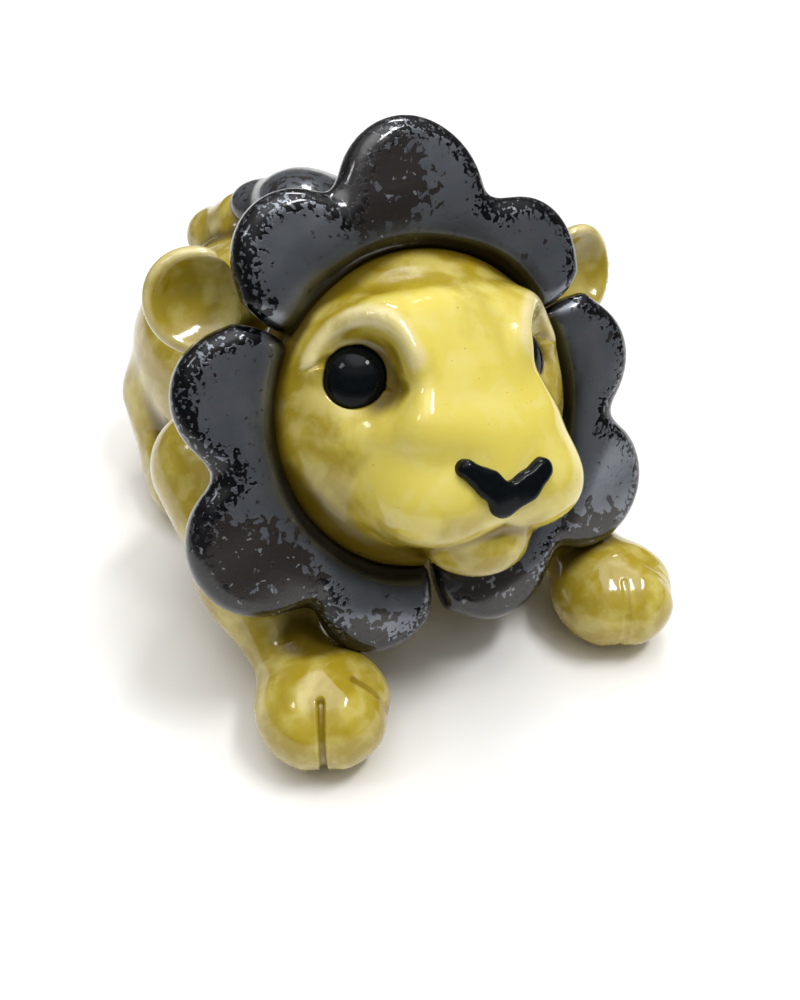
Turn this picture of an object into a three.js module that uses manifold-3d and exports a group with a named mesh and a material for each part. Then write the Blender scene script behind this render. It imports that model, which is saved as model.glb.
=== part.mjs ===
// Ceramic lion: a hand-built glazed figure that stands on four legs, its head cocked and looking up.
// Millimetres, +Z up. The lion faces -Y and its left side is +X. The origin is on the floor,
// under the middle of the figure.
import * as THREE from 'three';
import { SimplifyModifier } from 'three/addons/modifiers/SimplifyModifier.js';
import { mergeVertices } from 'three/addons/utils/BufferGeometryUtils.js';
import Module from 'manifold-3d';

const wasm = await Module();
wasm.setup();

function vec(x, y, z) {
  return new THREE.Vector3(x, y, z);
}

function lump(centre, radii) {
  return { centre, radii };
}

function knot(centre, radius) {
  return { centre, radius };
}

// Driving dimensions
const HEAD_Y = -38.8;
const HEAD_HEIGHT = 50;
const LOOK_UP = THREE.MathUtils.degToRad(22.5);
const COCK = THREE.MathUtils.degToRad(7.5);
const FACE_RADIUS = 28.6;
const FACE_BACK = -11;
const SLAB_THICKNESS = 6.6;
const SLAB_EDGE_RADIUS = 3;
const SEAT_GAP = 0.35;
const POCKET_GAP = 0.6;

// The left ear stands out further than the right, so the whole figure moves over by this to sit centred.
const CENTRING = -1.35;

const EYE_RADIUS = 5.6;
const EYE_PLACE = vec(15.4, 8.75, 7);
const EYE_AXIS = vec(0.45, 0.24, 0.86).normalize();

// The front feet stand a little to the lion's left of the body's middle line.
const STANCE_SHIFT = 1.2;
const PAW_PLACE = vec(31, HEAD_Y - 18.4, 9.1);
const PAW_SIZE = vec(11.5, 12.2, 9.7);
const TOE_GROOVE_WIDTH = 1.8;
const TOE_GROOVE_DEPTH = 2;
const TOE_GROOVE_START = 5.5;
const TOE_GROOVE_TURNS = [-22, 54];

// Lumps and knots of clay in the figure's frame. One of a pair is given on the lion's left.
const TORSO = lump(vec(0, HEAD_Y + 60, 32), vec(29.4, 41.5, 24.5));
const CHEST = lump(vec(0, HEAD_Y + 28, 34), vec(29.5, 26, 25.5));
const NECK = lump(vec(0, HEAD_Y + 16, 42), vec(25, 20, 25));
const SHOULDER = knot(vec(31.5, HEAD_Y + 29, 30), 12.2);
const ELBOW = knot(vec(31.8, HEAD_Y + 9, 18.5), 9.8);
const WRIST = knot(vec(31.4, HEAD_Y - 10, 9), 6.8);
const HAUNCH = lump(vec(22, HEAD_Y + 71, 28), vec(11.5, 19, 19));
const KNEE = knot(vec(27, HEAD_Y + 76, 20), 10);
const HOCK = knot(vec(28.5, HEAD_Y + 66, 9), 8.5);
const HIND_PAW = lump(vec(29, HEAD_Y + 57, 8), vec(9.5, 13.5, 9));
const TAIL_ROOT = knot(vec(0, HEAD_Y + 90, 38), 8);
const TAIL_BEND = knot(vec(-3, HEAD_Y + 101, 44.5), 6.2);
const TAIL_END = knot(vec(0, HEAD_Y + 89, 53), 5.8);
const TUFT = [
  lump(vec(4, HEAD_Y + 83, 57.5), vec(8, 9, 5.2)),
  lump(vec(6, HEAD_Y + 68, 62.5), vec(8, 10, 6)),
  lump(vec(14, HEAD_Y + 75, 59.5), vec(8, 9, 5.4)),
];

// Lumps and knots in the head's frame, and those of the eye and the ear in a frame of their own
const SKULL = lump(vec(0, 1, -15.5), vec(29, 29, 15));
const EAR_MOUND_ROOT = knot(vec(20, 13, -17), 8);
const EAR_MOUND_TIP = knot(vec(33, 20, -11.5), 4.5);
const DOME = lump(vec(0, 0, -6), vec(FACE_RADIUS, FACE_RADIUS, 22));
const MUZZLE = lump(vec(0, -9.2, 11.5), vec(17, 9.2, 13.4));
const LIP_PAD = lump(vec(9, -11, 14), vec(9.6, 6.8, 9.8));
const CHIN = lump(vec(0, -19.8, 11), vec(10, 5.8, 9.2));
const NOSE_POINT = knot(vec(0, -10.2, 24.6), 2.3);
const NOSE_BEND = knot(vec(4.2, -6.6, 24.1), 1.7);
const NOSE_END = knot(vec(6.6, -6.2, 23), 1.5);
const EYE_HOLLOW = lump(vec(1, -1, 7.4), vec(6.6, 6, 5.2));
const BROW = lump(vec(1.5, 8.2, 1.4), vec(8, 3.4, 4.2));
const LID = { radius: 6.3, height: 2.2, thickness: 1.3 };
const EAR_BACK = lump(vec(0, 0, -2), vec(8, 8, 4.2));
const EAR_CUP = lump(vec(0.5, 0, 3.6), vec(6, 6.2, 5.2));
const EAR = {
  reachRight: 36.2,
  reachLeft: 38.2,
  y: 21.3,
  z: -7,
  turn: THREE.MathUtils.degToRad(28),
  rimRadius: 5.9,
  rimThickness: 2.4,
  front: -3.3,
};
const BRIDGE = {
  y: 11,
  z: 17,
  slope: THREE.MathUtils.degToRad(34),
  halfWidth: 12.4,
  taper: 0.14,
  crown: 0.009,
  edge: 5.5,
  halfLength: 15,
  endRound: 6,
};

// How wide the fillet is where each form meets the clay before it
const FILLET = {
  chest: 10,
  neck: 8,
  skull: 7,
  earMound: 8,
  hindLeg: 7,
  foreleg: 6,
  elbow: 6,
  knee: 5,
  paw: 4,
  tail: 5,
  tuft: 4,
  bridge: 8,
  muzzle: 5,
  lipPad: 4,
  chin: 2.5,
  eyeHollow: 2,
  lid: 2.2,
  brow: 4,
  earBack: 2,
  earCup: 1.2,
  nose: 1,
  lobe: 5,
  slabEnd: 2,
};

// Mesh sizes: the cell of the net over each form, and the triangles that its thinned mesh keeps
const TRUNK_NET = { cell: 3, triangles: 2100 };
const FACE_NET = { cell: 1.5, triangles: 2200 };
const EAR_NET = { cell: 1.5, triangles: 720 };
const SLAB_NET = { cell: 1.8, triangles: 580 };
const NOSE_NET = { cell: 0.8, triangles: 200 };
const TUFT_NET = { cell: 1.6, triangles: 260 };

// Each mane slab spans an arc of the ring, in degrees from the crown toward the lion's left.
// A lobe is [angle, distance of its tip from the ring's centre, radius of its round end].
const MANE = {
  mane_top: {
    from: -58,
    to: 56.5,
    lobes: [[-38.5, 44.4, 11.2], [-1, 47.8, 13], [39, 41.8, 10.5]],
  },
  mane_right: {
    from: -175,
    to: -59.5,
    lobes: [[-158.5, 43.4, 11.2], [-119.5, 48.3, 13], [-79.5, 44, 11.5]],
  },
  mane_left: {
    from: 58,
    to: 183,
    lobes: [[79.5, 41.8, 11.2], [118.5, 49.6, 12.8], [157.5, 42.6, 11.4]],
  },
};
const SLAB_INNER_RADIUS = 27;
const SLAB_BAND_RADIUS = 35;
const SLAB_DISH_RADIUS = 37;
const SLAB_DISH = 3;
const SLAB_CREST = 1.8;
const SLAB_LEAN = 0.12;
const SLAB_END_INSET = 0.12;

const yellowGlaze = new THREE.MeshStandardMaterial({ color: 0xcdbb4e, roughness: 0.12, metalness: 0 });
const gunmetalGlaze = new THREE.MeshStandardMaterial({ color: 0x3a3b40, roughness: 0.25, metalness: 0.4 });
const blackGlaze = new THREE.MeshStandardMaterial({ color: 0x0a0d10, roughness: 0.06, metalness: 0 });

// The head's own frame: x to the lion's left, y to the crown, z out of the face.
const headGroup = new THREE.Group();
headGroup.position.set(0, HEAD_Y, HEAD_HEIGHT);
headGroup.rotation.set(Math.PI / 2 - LOOK_UP, 0, -COCK);
headGroup.updateMatrix();
const toHead = headGroup.matrix.clone().invert();

// Distance fields: negative inside the clay, positive outside

// A point with its x made positive, so one side of a pair stands for both.
function mirrored(p) {
  return vec(Math.abs(p.x), p.y, p.z);
}

function ellipsoid(p, { centre, radii }) {
  const q = p.clone().sub(centre).divide(radii);
  const reach = q.length();
  return reach * (reach - 1) / Math.max(q.divide(radii).length(), 1e-6);
}

function limb(p, from, to) {
  const axis = to.centre.clone().sub(from.centre);
  const offset = p.clone().sub(from.centre);
  const along = THREE.MathUtils.clamp(offset.dot(axis) / axis.lengthSq(), 0, 1);
  const radius = THREE.MathUtils.lerp(from.radius, to.radius, along);
  return offset.addScaledVector(axis, -along).length() - radius;
}

// Joins two forms with a fillet that is about as wide as softness.
function blend(a, b, softness) {
  const overlap = Math.max(softness - Math.abs(a - b), 0) / softness;
  return Math.min(a, b) - overlap * overlap * softness / 4;
}

function carve(a, cutter, softness) {
  return -blend(-a, cutter, softness);
}

function foreleg(p) {
  const q = mirrored(p.clone().setX(p.x - STANCE_SHIFT));
  const leg = blend(limb(q, SHOULDER, ELBOW), limb(q, ELBOW, WRIST), FILLET.elbow);
  return blend(leg, ellipsoid(q, { centre: PAW_PLACE, radii: PAW_SIZE }), FILLET.paw);
}

function hindLeg(p) {
  const q = mirrored(p);
  const leg = blend(ellipsoid(q, HAUNCH), limb(q, KNEE, HOCK), FILLET.knee);
  return blend(leg, ellipsoid(q, HIND_PAW), FILLET.paw);
}

function tailStem(p) {
  return blend(limb(p, TAIL_ROOT, TAIL_BEND), limb(p, TAIL_BEND, TAIL_END), FILLET.tuft);
}

function tailTuft(p) {
  return TUFT.map((lump) => ellipsoid(p, lump)).reduce((a, b) => blend(a, b, FILLET.tuft));
}

// The back of the head, in the head's frame, with a mound that carries each ear.
function skull(p) {
  const mound = limb(mirrored(p), EAR_MOUND_ROOT, EAR_MOUND_TIP);
  return blend(ellipsoid(p, SKULL), mound, FILLET.earMound);
}

function trunk(p) {
  let clay = blend(ellipsoid(p, TORSO), ellipsoid(p, CHEST), FILLET.chest);
  clay = blend(clay, ellipsoid(p, NECK), FILLET.neck);
  clay = blend(clay, skull(p.clone().applyMatrix4(toHead)), FILLET.skull);
  clay = blend(clay, hindLeg(p), FILLET.hindLeg);
  clay = blend(clay, foreleg(p), FILLET.foreleg);
  return blend(clay, tailStem(p), FILLET.tail);
}

// The head's forms, in the head's frame

// The broad flat bridge that runs straight from the forehead down to the nose, narrowing on the way.
function noseBridge(p) {
  const { y, z, slope, halfWidth, taper, crown, edge, halfLength, endRound } = BRIDGE;
  const along = (p.z - z) * Math.sin(slope) - (p.y - y) * Math.cos(slope);
  const above = (p.z - z) * Math.cos(slope) + (p.y - y) * Math.sin(slope);
  const side = p.x - (halfWidth - taper * along - edge);
  const top = above + crown * p.x * p.x + edge;
  const corner = Math.hypot(Math.max(side, 0), Math.max(top, 0));
  const bar = corner + Math.min(Math.max(side, top), 0) - edge;
  return carve(bar, halfLength - Math.abs(along + 1), endRound);
}

function face(p) {
  const q = mirrored(p);
  let clay = blend(ellipsoid(q, DOME), noseBridge(q), FILLET.bridge);
  clay = blend(clay, ellipsoid(q, MUZZLE), FILLET.muzzle);
  clay = blend(clay, ellipsoid(q, LIP_PAD), FILLET.lipPad);
  return blend(clay, ellipsoid(q, CHIN), FILLET.chin);
}

// A hollow for each eye, with a lid round it that is thickest above, under a soft brow.
function eyeSurround(p, clay) {
  const offset = mirrored(p).sub(EYE_PLACE);
  const crown = vec(-0.15, 1, 0).projectOnPlane(EYE_AXIS).normalize();
  const corner = EYE_AXIS.clone().cross(crown);
  const q = vec(offset.dot(corner), offset.dot(crown), offset.dot(EYE_AXIS));
  const reach = Math.max(Math.hypot(q.x, q.y), 1e-6);
  const lidThickness = LID.thickness + Math.max(0, q.y / reach);
  const lid = Math.hypot(reach - LID.radius, q.z - LID.height) - lidThickness;
  const hollowed = carve(clay, ellipsoid(q, EYE_HOLLOW), FILLET.eyeHollow);
  return blend(blend(hollowed, lid, FILLET.lid), ellipsoid(q, BROW), FILLET.brow);
}

// A round cupped ear that looks forward and out, behind the ring of the mane.
function ear(p) {
  const q = mirrored(p);
  const centre = vec(p.x < 0 ? EAR.reachRight : EAR.reachLeft, EAR.y, EAR.z);
  const offset = q.clone().sub(centre).applyAxisAngle(vec(0, 1, 0), -EAR.turn);
  const reach = Math.hypot(offset.x, offset.y);
  const rim = Math.hypot(Math.max(reach - EAR.rimRadius, 0), offset.z) - EAR.rimThickness;
  const bowl = blend(rim, ellipsoid(offset, EAR_BACK), FILLET.earBack);
  return Math.max(carve(bowl, ellipsoid(offset, EAR_CUP), FILLET.earCup), q.z - EAR.front);
}

// The front of the head, cut off flat behind the mane, inside the neck.
function head(p) {
  return Math.max(eyeSurround(p, face(p)), FACE_BACK - p.z);
}

// The height of a slab's middle above the ring's plane: it leans back outward and dips to the face.
function slabLevel(reach) {
  const dip = Math.max(0, SLAB_DISH_RADIUS - reach) / (SLAB_DISH_RADIUS - SLAB_INNER_RADIUS);
  return SLAB_CREST - SLAB_LEAN * (reach - SLAB_INNER_RADIUS) - SLAB_DISH * dip * dip;
}

function slab({ from, to, lobes }, p) {
  const middle = THREE.MathUtils.degToRad((from + to) / 2);
  const halfSpan = THREE.MathUtils.degToRad((to - from) / 2);
  const q = p.clone().applyAxisAngle(vec(0, 0, 1), middle);
  const reach = Math.hypot(q.x, q.y);
  const past = Math.abs(Math.atan2(q.x, q.y)) - halfSpan;
  let outline = Math.max(reach - SLAB_BAND_RADIUS, (past + SLAB_END_INSET) * reach);
  for (const [angle, tip, radius] of lobes) {
    const turn = THREE.MathUtils.degToRad(angle) - middle;
    const x = q.x - (tip - radius) * Math.sin(turn);
    const y = q.y - (tip - radius) * Math.cos(turn);
    outline = blend(outline, Math.hypot(x, y) - radius, FILLET.lobe);
  }
  outline = carve(outline, reach - SLAB_INNER_RADIUS, FILLET.slabEnd);
  outline = carve(outline, -past * reach, FILLET.slabEnd);
  const level = q.z - slabLevel(reach);
  const side = outline + SLAB_EDGE_RADIUS;
  const top = Math.abs(level) - SLAB_THICKNESS / 2 + SLAB_EDGE_RADIUS;
  const corner = Math.hypot(Math.max(side, 0), Math.max(top, 0));
  return corner + Math.min(Math.max(side, top), 0) - SLAB_EDGE_RADIUS;
}

// Two short rolls of clay that meet in a V, their ends curling outward.
function nose(p) {
  const q = mirrored(p);
  return blend(limb(q, NOSE_POINT, NOSE_BEND), limb(q, NOSE_BEND, NOSE_END), FILLET.nose);
}

// Meshing: a closed net of quads over a field's zero surface

function gridOver(field, low, high, cell) {
  const counts = high.clone().sub(low).divideScalar(cell).ceil().addScalar(1).toArray();
  const at = (i, j, k) => vec(low.x + i * cell, low.y + j * cell, low.z + k * cell);
  const index = (i, j, k) => i + counts[0] * (j + counts[1] * k);
  const values = new Float64Array(counts[0] * counts[1] * counts[2]);
  for (let k = 0; k < counts[2]; k++) {
    for (let j = 0; j < counts[1]; j++) {
      for (let i = 0; i < counts[0]; i++) {
        values[index(i, j, k)] = field(at(i, j, k));
      }
    }
  }
  return { counts, at, index, values };
}

// The mean of the points where a cell's edges cross the surface, or null where none does.
function cellPoint(grid, i, j, k) {
  const point = vec(0, 0, 0);
  let crossings = 0;
  for (let axis = 0; axis < 3; axis++) {
    for (let side = 0; side < 4; side++) {
      const start = [i, j, k];
      start[(axis + 1) % 3] += side & 1;
      start[(axis + 2) % 3] += side >> 1;
      const end = [...start];
      end[axis] += 1;
      const a = grid.values[grid.index(...start)];
      const b = grid.values[grid.index(...end)];
      if ((a < 0) !== (b < 0)) {
        point.add(grid.at(...start).lerp(grid.at(...end), a / (a - b)));
        crossings += 1;
      }
    }
  }
  return crossings ? point.divideScalar(crossings) : null;
}

function slopeOf(field, p) {
  const step = 0.05;
  const slope = ['x', 'y', 'z'].map((axis) => {
    const ahead = p.clone();
    const behind = p.clone();
    ahead[axis] += step;
    behind[axis] -= step;
    return (field(ahead) - field(behind)) / (2 * step);
  });
  return vec(...slope);
}

// Moves a point onto the surface, by no more than a third of a cell.
function settle(field, p, cell) {
  const settled = p.clone();
  for (let round = 0; round < 3; round++) {
    const slope = slopeOf(field, settled);
    settled.addScaledVector(slope, -field(settled) / Math.max(slope.lengthSq(), 0.25));
  }
  return p.add(settled.sub(p).clampLength(0, cell / 3));
}

async function netGeometry(field, low, high, { cell, triangles }) {
  const grid = gridOver(field, low, high, cell);
  const [columns, rows, layers] = grid.counts;
  const vertexOf = new Map();
  const positions = [];
  for (let k = 0; k < layers - 1; k++) {
    for (let j = 0; j < rows - 1; j++) {
      for (let i = 0; i < columns - 1; i++) {
        const point = cellPoint(grid, i, j, k);
        if (point) {
          vertexOf.set(grid.index(i, j, k), positions.length / 3);
          positions.push(...settle(field, point, cell).toArray());
        }
      }
    }
  }
  const corners = [];
  for (let axis = 0; axis < 3; axis++) {
    for (const place of vertexOf.keys()) {
      const layer = Math.floor(place / (columns * rows));
      const corner = [place % columns, Math.floor(place / columns) % rows, layer];
      const end = [...corner];
      end[axis] += 1;
      const startsInside = grid.values[place] < 0;
      if (startsInside !== (grid.values[grid.index(...end)] < 0)) {
        const around = [[0, 0], [1, 0], [1, 1], [0, 1]].map(([u, v]) => {
          const neighbour = [...corner];
          neighbour[(axis + 1) % 3] -= u;
          neighbour[(axis + 2) % 3] -= v;
          return vertexOf.get(grid.index(...neighbour));
        });
        const [a, b, c, d] = startsInside ? around : around.reverse();
        corners.push(a, b, c, a, c, d);
      }
    }
  }
  const geometry = new THREE.BufferGeometry();
  geometry.setAttribute('position', new THREE.Float32BufferAttribute(positions, 3));
  geometry.setIndex(corners);
  const surplus = 1 - 3 * triangles / corners.length;
  return new SimplifyModifier().modify(geometry, surplus * positions.length / 3);
}

// Solids for cutting and joining

function toSolid(geometry) {
  const vertProperties = new Float32Array(geometry.attributes.position.array);
  const triVerts = new Uint32Array(geometry.index.array);
  return new wasm.Manifold(new wasm.Mesh({ numProp: 3, vertProperties, triVerts }));
}

function toGeometry(solid) {
  const { vertProperties, triVerts } = solid.getMesh();
  const geometry = new THREE.BufferGeometry();
  geometry.setAttribute('position', new THREE.BufferAttribute(vertProperties, 3));
  geometry.setIndex(new THREE.BufferAttribute(triVerts, 1));
  return geometry;
}

function primitive(geometry) {
  geometry.deleteAttribute('normal');
  geometry.deleteAttribute('uv');
  return mergeVertices(geometry);
}

function eyeball(side, radius) {
  const ball = primitive(new THREE.SphereGeometry(radius, 14, 9));
  return ball.translate(side * EYE_PLACE.x, EYE_PLACE.y, EYE_PLACE.z);
}

function slabNet(shape) {
  return netGeometry((p) => slab(shape, p), vec(-57, -57, -13), vec(57, 57, 13), SLAB_NET);
}

// The groove round the face in which the slabs are set.
function maneSeat() {
  const half = SLAB_THICKNESS / 2 + SEAT_GAP;
  const inner = SLAB_INNER_RADIUS - SEAT_GAP;
  const outer = FACE_RADIUS + 2;
  const profile = [
    new THREE.Vector2(inner, slabLevel(inner) - half),
    new THREE.Vector2(outer, slabLevel(outer) - half),
    new THREE.Vector2(outer, slabLevel(outer) + half),
    new THREE.Vector2(inner, slabLevel(inner) + half),
    new THREE.Vector2(inner, slabLevel(inner) - half),
  ];
  return primitive(new THREE.LatheGeometry(profile, 36)).rotateX(Math.PI / 2);
}

function noseNet(gap) {
  return netGeometry((p) => nose(p) - gap, vec(-11, -16, 18), vec(11, -1, 31), NOSE_NET);
}

function tuftNet(gap) {
  const low = vec(-9, HEAD_Y + 52, 46);
  const high = vec(27, HEAD_Y + 98, 74);
  return netGeometry((p) => tailTuft(p) - gap, low, high, TUFT_NET);
}

// The grooves between the toes: upright plates, cut only as deep as TOE_GROOVE_DEPTH into a paw.
function toeGrooves() {
  const length = 12;
  const height = 26;
  const core = PAW_SIZE.clone().subScalar(TOE_GROOVE_DEPTH);
  const grooves = [];
  for (const side of [-1, 1]) {
    const inner = primitive(new THREE.SphereGeometry(1, 16, 11));
    const pawX = STANCE_SHIFT + side * PAW_PLACE.x;
    inner.scale(...core).translate(pawX, PAW_PLACE.y, PAW_PLACE.z);
    for (const turn of TOE_GROOVE_TURNS) {
      const plate = primitive(new THREE.BoxGeometry(TOE_GROOVE_WIDTH, length, height));
      plate.translate(0, -TOE_GROOVE_START - length / 2, height / 2 - 2);
      plate.rotateZ(THREE.MathUtils.degToRad(turn));
      plate.translate(pawX, PAW_PLACE.y, 0);
      grooves.push(toSolid(plate).subtract(toSolid(inner)));
    }
  }
  return grooves;
}

function headSolid(geometry) {
  return toSolid(geometry.applyMatrix4(headGroup.matrix));
}

async function bodyGeometry() {
  const trunkNet = await netGeometry(trunk, vec(-50, HEAD_Y - 38, -8), vec(50, HEAD_Y + 112, 82), TRUNK_NET);
  const headNet = await netGeometry(head, vec(-34, -36, -16), vec(34, 36, 32), FACE_NET);
  const earNet = await netGeometry(ear, vec(-50, 0, -30), vec(50, 36, 6), EAR_NET);
  const floor = primitive(new THREE.BoxGeometry(200, 300, 40)).translate(0, 0, -20);
  let clay = toSolid(trunkNet).add(headSolid(headNet)).add(headSolid(earNet));
  clay = clay.subtract(toSolid(floor)).subtract(headSolid(maneSeat()));
  for (const side of [-1, 1]) {
    clay = clay.subtract(headSolid(eyeball(side, EYE_RADIUS + SEAT_GAP)));
  }
  clay = clay.subtract(headSolid(await noseNet(POCKET_GAP))).subtract(toSolid(await tuftNet(POCKET_GAP)));
  for (const groove of toeGrooves()) {
    clay = clay.subtract(groove);
  }
  return toGeometry(clay);
}

function piece(name, geometry, glaze) {
  const mesh = new THREE.Mesh(geometry, glaze);
  mesh.name = name;
  return mesh;
}

for (const [name, shape] of Object.entries(MANE)) {
  headGroup.add(piece(name, await slabNet(shape), gunmetalGlaze));
}
headGroup.add(piece('eye_right', eyeball(-1, EYE_RADIUS), blackGlaze));
headGroup.add(piece('eye_left', eyeball(1, EYE_RADIUS), blackGlaze));
headGroup.add(piece('nose', await noseNet(0), blackGlaze));

const figure = new THREE.Group();
figure.position.x = CENTRING;
figure.add(piece('lion_body', await bodyGeometry(), yellowGlaze));
figure.add(piece('tail_tuft', await tuftNet(0), gunmetalGlaze));
figure.add(headGroup);

const lion = new THREE.Group();
lion.add(figure);

export default lion;
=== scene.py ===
# %% [markdown]
# A glazed clay lion. The real figure is hand built: lumps of clay are pressed together for the body,
# slabs are rolled flat and cut for the mane, and beads and rolls make the eyes and the nose. This
# lesson builds the visible model the same way round the imported solids, which give the main sizes and
# places. The first cell loads those solids.

import math

import bmesh
import bpy
import numpy as np
from mathutils import Matrix, Vector


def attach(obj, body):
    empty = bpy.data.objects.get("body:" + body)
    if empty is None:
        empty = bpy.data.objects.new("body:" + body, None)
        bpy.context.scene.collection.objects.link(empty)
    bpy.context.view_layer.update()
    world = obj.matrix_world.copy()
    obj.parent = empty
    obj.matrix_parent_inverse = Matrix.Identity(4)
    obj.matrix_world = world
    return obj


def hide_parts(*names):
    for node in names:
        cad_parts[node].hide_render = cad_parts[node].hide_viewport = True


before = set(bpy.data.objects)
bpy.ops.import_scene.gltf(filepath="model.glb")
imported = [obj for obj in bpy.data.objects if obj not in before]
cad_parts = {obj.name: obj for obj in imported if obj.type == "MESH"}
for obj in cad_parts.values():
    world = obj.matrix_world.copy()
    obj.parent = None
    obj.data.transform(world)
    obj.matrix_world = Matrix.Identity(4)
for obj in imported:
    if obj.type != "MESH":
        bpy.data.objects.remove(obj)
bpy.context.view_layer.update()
MM = 0.001
print("solids:", sorted(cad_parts))

# %% [markdown]
# The camera is close to the face, to the lion's right and well above it. Being that near gives the
# strong perspective, so the distance matters as much as the direction. The lens follows from the focal
# length in pixels of an image 1000 pixels tall, on a sensor that is 36 mm along that side.

# %% Camera
CAMERA_PLACE = Vector((-71.73, -163.16, 141.57)) * MM
CAMERA_AZIMUTH = math.radians(-27.7)
CAMERA_ELEVATION = math.radians(37.8)
FOCAL_PIXELS = 983.6
IMAGE_HEIGHT = 1000
SENSOR_MM = 36

camera_data = bpy.data.cameras.new("camera")
camera_data.sensor_width = SENSOR_MM
camera_data.lens = FOCAL_PIXELS / IMAGE_HEIGHT * SENSOR_MM
camera_data.clip_start = 0.01
camera = bpy.data.objects.new("camera", camera_data)
camera.location = CAMERA_PLACE
camera.rotation_euler = (math.pi / 2 - CAMERA_ELEVATION, 0, CAMERA_AZIMUTH)
bpy.context.scene.collection.objects.link(camera)
bpy.context.scene.camera = camera
print("lens", round(camera_data.lens, 2), "mm")

# %% [markdown]
# Glossy glaze shows every lamp, so the lamps decide the look. One narrow bright lamp high in front
# gives the short strokes on the paws, the brow and the eyes, one from behind lights the back, and a
# small one on the lion's right catches the edges of the mane. Area lamps are used because a highlight
# has the shape of its lamp.

# %% Lamps
FIGURE_MIDDLE = Vector((0, 0, 0.04))
LAMP_DISTANCE = 1.5


def add_lamp(name, azimuth, elevation, width, height, radiance):
    """A lamp that looks at the figure's middle. Azimuth 0 is in front of the lion, 90 on its left."""
    turn = math.radians(azimuth)
    lift = math.radians(elevation)
    away = Vector((math.sin(turn) * math.cos(lift), -math.cos(turn) * math.cos(lift), math.sin(lift)))
    data = bpy.data.lights.new(name, "AREA")
    data.shape = "RECTANGLE"
    data.size = width
    data.size_y = height
    data.energy = radiance * math.pi * width * height
    lamp = bpy.data.objects.new(name, data)
    lamp.location = FIGURE_MIDDLE + away * LAMP_DISTANCE
    lamp.rotation_euler = away.to_track_quat("Z", "Y").to_euler()
    bpy.context.scene.collection.objects.link(lamp)
    print(name, round(data.energy, 1), "watts")


add_lamp("lamp_front", azimuth=44, elevation=65, width=0.55, height=0.17, radiance=29)
add_lamp("lamp_back", azimuth=140, elevation=53, width=0.4, height=0.16, radiance=22)
add_lamp("lamp_left", azimuth=-97, elevation=50, width=0.2, height=0.26, radiance=9)

# %% [markdown]
# The room does the rest. Its light is brightest overhead, as from a pale ceiling, which whitens the
# sheet under the figure and leaves deep shade under the chin and in the ears. Towards the horizon it is
# dim, because black eyes that reflect a white room would look grey. A colour ramp over the height of
# the sky gives both.

# %% Room
ROOM_LIGHT = 3.15
ROOM_SHARES = [(0.0, 0.045), (0.5, 0.05), (0.84, 0.25), (1.0, 1.0)]

world = bpy.data.worlds.new("room")
bpy.context.scene.world = world
world.use_nodes = True
room = world.node_tree
room_place = room.nodes.new("ShaderNodeTexCoord")
room_split = room.nodes.new("ShaderNodeSeparateXYZ")
room_ramp = room.nodes.new("ShaderNodeValToRGB")
room_ramp.color_ramp.interpolation = "EASE"
stops = room_ramp.color_ramp.elements
while len(stops) < len(ROOM_SHARES):
    stops.new(0.5)
for stop, (height, share) in zip(stops, ROOM_SHARES):
    stop.position = height
    stop.color = (share, share, share, 1)
room.links.new(room_place.outputs["Generated"], room_split.inputs[0])
room.links.new(room_split.outputs["Z"], room_ramp.inputs[0])
room.links.new(room_ramp.outputs[0], room.nodes["Background"].inputs["Color"])
room.nodes["Background"].inputs["Strength"].default_value = ROOM_LIGHT
bpy.context.scene.view_settings.view_transform = "Standard"
print("room light overhead", ROOM_LIGHT, "and at the horizon", round(ROOM_LIGHT * ROOM_SHARES[1][1], 2))

# %% [markdown]
# The figure stands on a big white sheet. In front and at the lion's right, out of sight of the camera,
# the sheet fades to grey, because the glaze reflects something dark there. One fade along x and one
# along y are multiplied.

# %% Sheet under the figure
SHEET_HALF = 2.5
SHEET_LOW = (-0.13, -0.16)
SHEET_FADE = 0.25
SHEET_GREY = (0.22, 0.22, 0.22, 1)
SHEET_WHITE = (0.93, 0.92, 0.91, 1)
SHEET_ROUGHNESS = 0.6

floor_mesh = bmesh.new()
bmesh.ops.create_grid(floor_mesh, x_segments=1, y_segments=1, size=SHEET_HALF)
floor_data = bpy.data.meshes.new("floor")
floor_mesh.to_mesh(floor_data)
floor_mesh.free()
floor = bpy.data.objects.new("floor", floor_data)
bpy.context.scene.collection.objects.link(floor)
floor_paint = bpy.data.materials.new("white_sheet")
floor_paint.use_nodes = True
sheet = floor_paint.node_tree
sheet_place = sheet.nodes.new("ShaderNodeTexCoord")
sheet_split = sheet.nodes.new("ShaderNodeSeparateXYZ")
sheet.links.new(sheet_place.outputs["Object"], sheet_split.inputs[0])
sheet_share = sheet.nodes.new("ShaderNodeMath")
sheet_share.operation = "MULTIPLY"
for axis, low in enumerate(SHEET_LOW):
    fade = sheet.nodes.new("ShaderNodeMapRange")
    fade.interpolation_type = "SMOOTHSTEP"
    fade.inputs["From Min"].default_value = low - SHEET_FADE
    fade.inputs["From Max"].default_value = low
    sheet.links.new(sheet_split.outputs[axis], fade.inputs["Value"])
    sheet.links.new(fade.outputs[0], sheet_share.inputs[axis])
sheet_colour = sheet.nodes.new("ShaderNodeMix")
sheet_colour.data_type = "RGBA"
sheet_colour.inputs[6].default_value = SHEET_GREY
sheet_colour.inputs[7].default_value = SHEET_WHITE
sheet.links.new(sheet_share.outputs[0], sheet_colour.inputs[0])
sheet.links.new(sheet_colour.outputs[2], sheet.nodes["Principled BSDF"].inputs["Base Color"])
sheet.nodes["Principled BSDF"].inputs["Roughness"].default_value = SHEET_ROUGHNESS
floor.data.materials.append(floor_paint)
print("sheet", 2 * SHEET_HALF, "m wide")

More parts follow.
